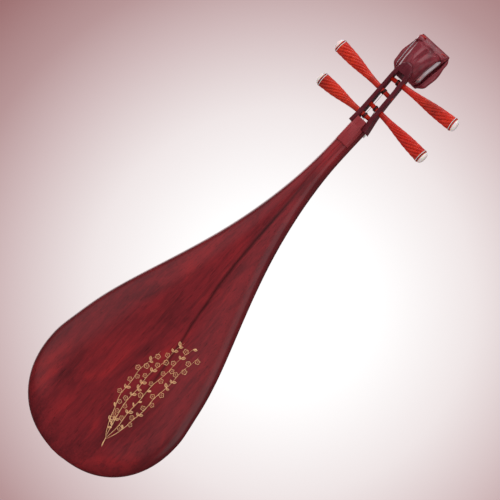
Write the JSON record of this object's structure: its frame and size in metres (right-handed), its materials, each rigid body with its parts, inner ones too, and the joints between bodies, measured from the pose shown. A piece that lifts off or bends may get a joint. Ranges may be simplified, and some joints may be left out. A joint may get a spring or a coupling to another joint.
{
  "type": "pipa lute",
  "caption": "Pear-shaped plucked lute with a hollow carved back, a fretted neck, an open pegbox with friction tuning pegs and a curled carved head. The tail rests on the player's lap.",
  "frame": {"origin": "middle of the small flat at the tail, in the plane of the soundboard's face", "axes": "+Z from the tail to the head, -Y out of the soundboard, +Y out of the carved back, X across the body"},
  "size_m": [0.307, 0.0993, 1.003],
  "materials": {
    "lacquered_rosewood": "high gloss clear lacquer over dark red rosewood",
    "neck_block_wood": "high gloss lacquer over lighter red rosewood",
    "peg_wood": "polished orange-red lacquered hardwood",
    "paulownia": "matt open-grained soundboard wood",
    "brace_wood": "raw planed softwood",
    "bamboo": "satin polished bamboo",
    "horn": "polished translucent horn",
    "bone": "polished bone",
    "string_wire": "fine wound and plain steel wire"
  },
  "bodies": {
    "root": {"back_shell": "lacquered_rosewood", "pegbox": "lacquered_rosewood", "head": "lacquered_rosewood", "string_holder": "lacquered_rosewood", "neck_block": "neck_block_wood", "nut": "bone", "holder_facing": "bone", "string_1": "string_wire", "string_2": "string_wire", "string_3": "string_wire", "string_4": "string_wire", "soundboard": "paulownia", "lower_brace": "brace_wood", "middle_brace": "brace_wood", "upper_brace": "brace_wood", "sound_post_1": "brace_wood", "sound_post_2": "brace_wood", "sound_post_3": "brace_wood", "wedge_fret_1": "horn", "wedge_fret_2": "horn", "wedge_fret_3": "horn", "wedge_fret_4": "horn", "wedge_fret_5": "horn", "wedge_fret_6": "horn", "bamboo_fret_01": "bamboo", "bamboo_fret_02": "bamboo", "bamboo_fret_03": "bamboo", "bamboo_fret_04": "bamboo", "bamboo_fret_05": "bamboo", "bamboo_fret_06": "bamboo", "bamboo_fret_07": "bamboo", "bamboo_fret_08": "bamboo", "bamboo_fret_09": "bamboo", "bamboo_fret_10": "bamboo", "bamboo_fret_11": "bamboo", "bamboo_fret_12": "bamboo", "bamboo_fret_13": "bamboo", "bamboo_fret_14": "bamboo", "bamboo_fret_15": "bamboo", "bamboo_fret_16": "bamboo", "bamboo_fret_17": "bamboo", "bamboo_fret_18": "bamboo", "bamboo_fret_19": "bamboo", "bamboo_fret_20": "bamboo", "bamboo_fret_21": "bamboo", "bamboo_fret_22": "bamboo", "bamboo_fret_23": "bamboo", "bamboo_fret_24": "bamboo"},
    "tuning_peg_1": {"peg_1": "peg_wood", "peg_cap_1": "bone", "string_winding_1": "string_wire"},
    "tuning_peg_2": {"peg_2": "peg_wood", "peg_cap_2": "bone", "string_winding_2": "string_wire"},
    "tuning_peg_3": {"peg_3": "peg_wood", "peg_cap_3": "bone", "string_winding_3": "string_wire"},
    "tuning_peg_4": {"peg_4": "peg_wood", "peg_cap_4": "bone", "string_winding_4": "string_wire"}
  },
  "joints": [
    {"name": "peg_1_turn", "type": "hinge", "parent": "root", "child": "tuning_peg_1", "pos_m": [0, 0.02252, 0.8225], "axis": [0.9991, -0.0115, -0.0403], "continuous": true},
    {"name": "peg_2_turn", "type": "hinge", "parent": "root", "child": "tuning_peg_2", "pos_m": [0, 0.02869, 0.844], "axis": [-0.9979, -0.0178, -0.062], "continuous": true},
    {"name": "peg_3_turn", "type": "hinge", "parent": "root", "child": "tuning_peg_3", "pos_m": [0, 0.03787, 0.876], "axis": [0.9976, 0.0192, 0.0671], "continuous": true},
    {"name": "peg_4_turn", "type": "hinge", "parent": "root", "child": "tuning_peg_4", "pos_m": [0, 0.04589, 0.904], "axis": [-0.9954, 0.0264, 0.0921], "continuous": true}
  ]
}
